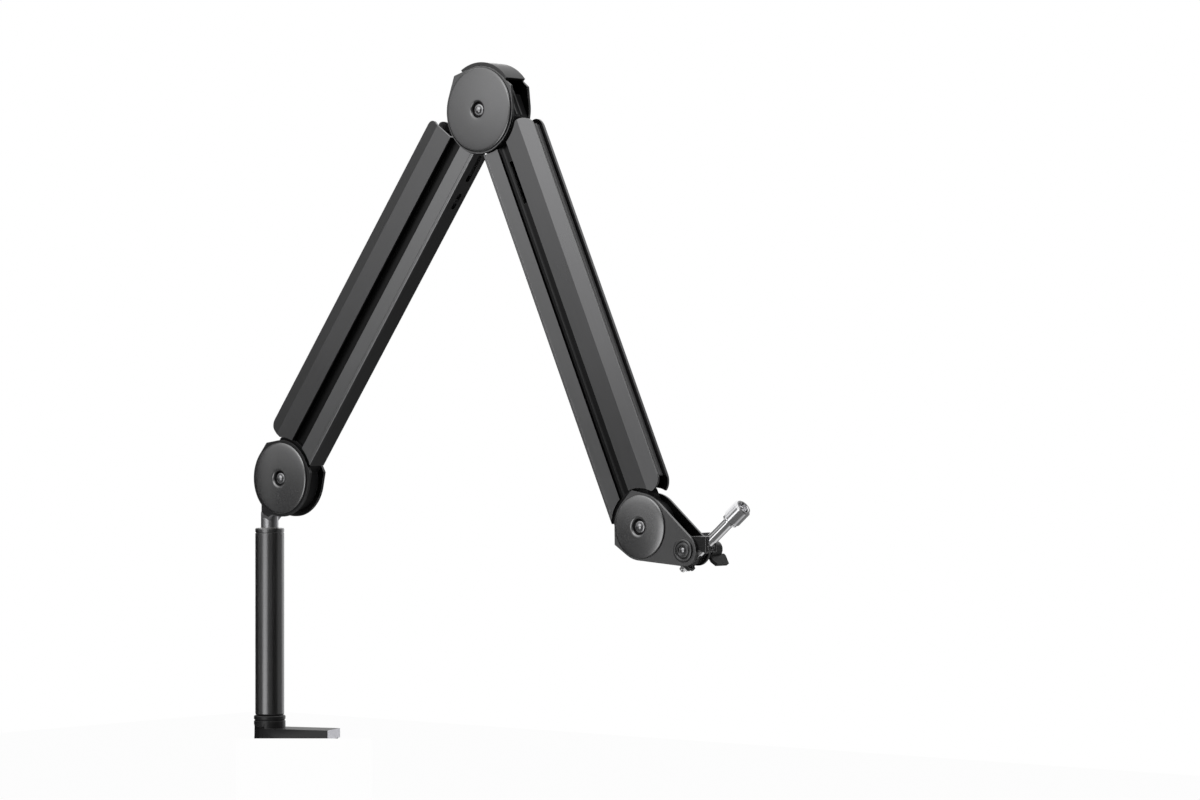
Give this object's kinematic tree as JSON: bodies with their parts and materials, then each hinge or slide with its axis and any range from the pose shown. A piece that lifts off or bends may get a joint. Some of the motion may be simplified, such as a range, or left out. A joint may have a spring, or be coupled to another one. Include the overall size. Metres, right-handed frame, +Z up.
{
  "type": "microphone boom arm",
  "caption": "Desk-clamped microphone boom arm with a riser tube, sprung arms with covered cable channels, round joint caps, a tilting end link and a chrome threaded mount.",
  "frame": {"origin": "middle of the upper jaw pad, on the plane where it rests on the desk top", "axes": "+Z up, +X in the arms' plane from the riser towards the microphone end, +Y to the left of +X, away from the camera"},
  "size_m": [0.5591, 0.0542, 0.721],
  "materials": {
    "cast_black": "satin black powder coat",
    "tube_black": "satin black",
    "arm_grey": "dark grey anodised, satin",
    "plate_grey": "dark grey anodised, satin",
    "cap_grey": "dark grey anodised, satin, spun",
    "pad_rubber": "matte",
    "steel": "bright zinc plated",
    "foot_steel": "satin black",
    "chrome": "polished",
    "tongue_black": "glass filled, satin",
    "cover_plastic": "satin",
    "handle_plastic": "fine grained",
    "washer_plastic": "acetal, natural",
    "bush_bronze": "sintered bronze"
  },
  "bodies": {
    "clamp": {"clamp_frame": "cast_black", "jaw_pad": "pad_rubber", "clamp_collar": "cast_black", "riser_tube": "tube_black", "riser_bushes": "washer_plastic", "riser_grub_screw": "steel"},
    "foot": {"clamp_foot": "foot_steel", "foot_pad": "pad_rubber"},
    "spindle": {"clamp_spindle": "steel", "clamp_handle": "handle_plastic", "handle_screw": "steel"},
    "yoke": {"base_yoke": "cast_black", "yoke_clip": "steel", "base_axle": "steel", "base_cap_front": "cap_grey", "base_cap_back": "cap_grey", "base_cap_screws": "steel", "base_washers": "washer_plastic", "base_stop_pin": "steel"},
    "lower_arm": {"lower_beam": "arm_grey", "lower_channel": "arm_grey", "lower_cable_cover": "cover_plastic", "lower_tongue": "tongue_black", "lower_bushes": "bush_bronze", "lower_channel_screws": "steel", "lower_spring": "steel", "lower_spring_anchor": "tongue_black", "elbow_fork_block": "cast_black", "elbow_plate_front": "plate_grey", "elbow_plate_back": "plate_grey", "elbow_plate_screws": "steel", "elbow_shield": "plate_grey", "elbow_axle": "steel", "elbow_cap_front": "cap_grey", "elbow_cap_back": "cap_grey", "elbow_cap_screws": "steel", "elbow_washers": "washer_plastic", "elbow_stop_pin": "steel"},
    "upper_arm": {"upper_beam": "arm_grey", "upper_channel": "arm_grey", "upper_cable_cover": "cover_plastic", "upper_elbow_tongue": "tongue_black", "upper_end_tongue": "tongue_black", "upper_bushes": "bush_bronze", "upper_channel_screws": "steel", "upper_spring": "steel", "upper_spring_anchor": "tongue_black"},
    "link": {"link_plate_front": "plate_grey", "link_plate_back": "plate_grey", "link_spacer": "cast_black", "end_axle": "steel", "end_caps": "cap_grey", "end_cap_screws": "steel", "end_washers": "washer_plastic", "tilt_bolt": "cast_black"},
    "head": {"mic_knuckle": "cast_black"},
    "rod": {"mic_rod": "chrome", "thread_adapter": "chrome"},
    "nut": {"wing_nut": "cast_black"}
  },
  "joints": [
    {"name": "foot_travel", "type": "slide", "parent": "clamp", "child": "foot", "axis": [0, 0, 1], "range_m": [-0.034, 0.02]},
    {"name": "spindle_turn", "type": "hinge", "parent": "foot", "child": "spindle", "pos_m": [0, 0, -0.08], "axis": [0, 0, 1], "range_deg": [-6125, 3605]},
    {"name": "pan", "type": "hinge", "parent": "clamp", "child": "yoke", "pos_m": [-0.03608, -0.01385, 0.18], "axis": [0, 0, 1], "continuous": true},
    {"name": "base_lift", "type": "hinge", "parent": "yoke", "child": "lower_arm", "pos_m": [-0.01208, -0.01385, 0.234], "axis": [0, -1, 0], "range_deg": [-55, 45]},
    {"name": "elbow", "type": "hinge", "parent": "lower_arm", "child": "upper_arm", "pos_m": [0.22711, -0.01385, 0.55217], "axis": [0, -1, 0], "range_deg": [-12, 75]},
    {"name": "link_tilt", "type": "hinge", "parent": "upper_arm", "child": "link", "pos_m": [0.4037, -0.01385, 0.19914], "axis": [0, -1, 0], "range_deg": [-75, 40]},
    {"name": "mount_tilt", "type": "hinge", "parent": "link", "child": "head", "pos_m": [0.44941, -0.01385, 0.18067], "axis": [0, -1, 0], "range_deg": [-50, 35]},
    {"name": "rod_swivel", "type": "hinge", "parent": "head", "child": "rod", "pos_m": [0.46911, -0.01385, 0.18822], "axis": [0.7716, 0, 0.6361], "continuous": true},
    {"name": "wing_turn", "type": "hinge", "parent": "link", "child": "nut", "pos_m": [0.44941, -0.01385, 0.18067], "axis": [0, 1, 0], "range_deg": [-120, 0]}
  ],
  "couplings": [
    {"joint": "spindle_turn", "follows": "foot_travel", "rad_per_m": 3141.6}
  ]
}
